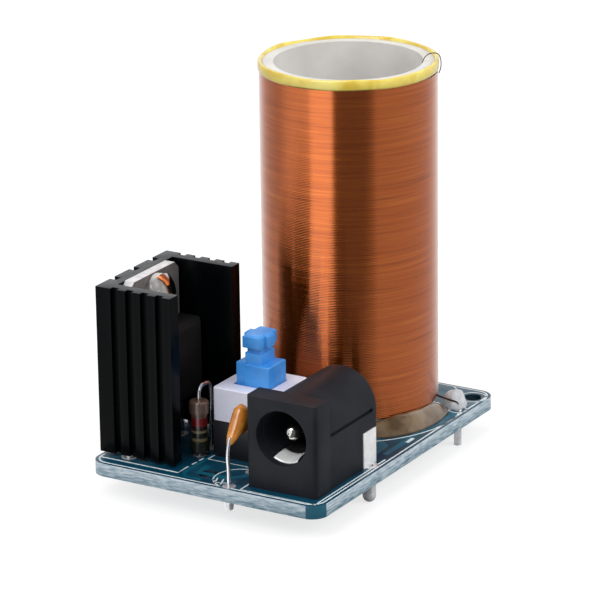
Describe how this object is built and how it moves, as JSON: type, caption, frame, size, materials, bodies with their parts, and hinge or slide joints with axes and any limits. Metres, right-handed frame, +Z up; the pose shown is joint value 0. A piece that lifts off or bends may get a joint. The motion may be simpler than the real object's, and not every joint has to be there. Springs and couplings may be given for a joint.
{
  "type": "desktop resonant transformer",
  "caption": "Small oscillator board with a finned heat sink, power socket, latching push switch and a tall wound secondary coil on a hollow tube, for classroom demonstrations.",
  "frame": {"origin": "under the middle of the board, on the plane that the longest solder joints stand on", "axes": "+X along the board's front edge from the heat sink to the power socket, +Y from the front edge back to the coil, +Z up along the coil"},
  "size_m": [0.0306, 0.0424, 0.0483],
  "materials": {
    "board_mask": "satin solder mask over glass-filled laminate",
    "masked_track": "copper track under solder mask",
    "solder": "bright tin solder",
    "black_anodised": "black anodised, satin",
    "tinned_wire": "tinned wire",
    "tinned_tab": "tinned plate",
    "black_epoxy": "moulded epoxy",
    "plated_screw": "bright plated",
    "socket_plastic": "satin moulded plastic",
    "plated_pin": "bright plated",
    "tinned_strip": "tinned strip",
    "spring_strip": "plated spring strip",
    "switch_black": "moulded plastic",
    "switch_grey": "smooth moulded plastic",
    "switch_blue": "smooth moulded plastic",
    "spring_wire": "drawn spring wire",
    "contact_strip": "plated contact strip",
    "resistor_coat": "lacquer coat with printed bands",
    "orange_epoxy": "dipped glossy coat",
    "clear_lens": "clear moulded resin",
    "red_lens": "tinted moulded resin",
    "former_tube": "off-white extruded plastic",
    "enamelled_wire": "enamelled copper under clear varnish",
    "yellow_tape": "bright yellow polyester tape",
    "brown_glue": "set glue, slightly translucent",
    "clear_glue": "clear set glue"
  },
  "bodies": {
    "board": {"pcb_board": "board_mask", "primary_track": "masked_track", "solder_joints": "solder", "coil_pad_joint": "solder", "heat_sink": "black_anodised", "heat_sink_pins": "tinned_wire", "transistor_tab": "tinned_tab", "transistor_case": "black_epoxy", "transistor_leads": "tinned_wire", "clamp_screw": "plated_screw", "jack_housing": "socket_plastic", "jack_centre_pin": "plated_pin", "jack_pin_terminal": "tinned_strip", "jack_sleeve_terminal": "tinned_strip", "jack_side_terminal": "tinned_strip", "switch_base": "switch_black", "switch_cover": "switch_grey", "switch_return_spring": "spring_wire", "switch_terminals": "tinned_strip", "bias_resistor": "resistor_coat", "bias_resistor_leads": "tinned_wire", "lamp_resistor": "resistor_coat", "lamp_resistor_leads": "tinned_wire", "capacitor_body": "orange_epoxy", "capacitor_leads": "tinned_wire", "feedback_lamp_lens": "clear_lens", "power_lamp_lens": "red_lens", "lamp_leads": "tinned_wire", "coil_former": "former_tube", "secondary_winding": "enamelled_wire", "rim_tape": "yellow_tape", "winding_lead_top": "enamelled_wire", "winding_lead_foot": "enamelled_wire", "glue_bead": "brown_glue", "glue_drop": "clear_glue"},
    "plunger": {"switch_plunger": "switch_blue", "switch_contact_bridges": "contact_strip"},
    "latch": {"switch_latch_pin": "spring_wire"},
    "leaf": {"jack_sleeve_leaf": "spring_strip"}
  },
  "joints": [
    {"name": "plunger_press", "type": "slide", "parent": "board", "child": "plunger", "axis": [0, 0, -1], "range_m": [0, 0.0018], "stiffness_N_per_m": 300, "springref_m": -0.002, "deforming": ["switch_return_spring"]},
    {"name": "latch_swing", "type": "hinge", "parent": "board", "child": "latch", "pos_m": [0.0014, -0.0055, 0.0059], "axis": [0, 1, 0], "range_deg": [0, 10]},
    {"name": "sleeve_leaf_flex", "type": "hinge", "parent": "board", "child": "leaf", "pos_m": [0.00935, -0.0096, 0.0066], "axis": [1, 0, 0], "range_deg": [0, 5], "stiffness_Nm_per_rad": 0.02}
  ],
  "couplings": [
    {"joint": "latch_swing", "follows": "plunger_press", "rad_per_m": 75}
  ]
}
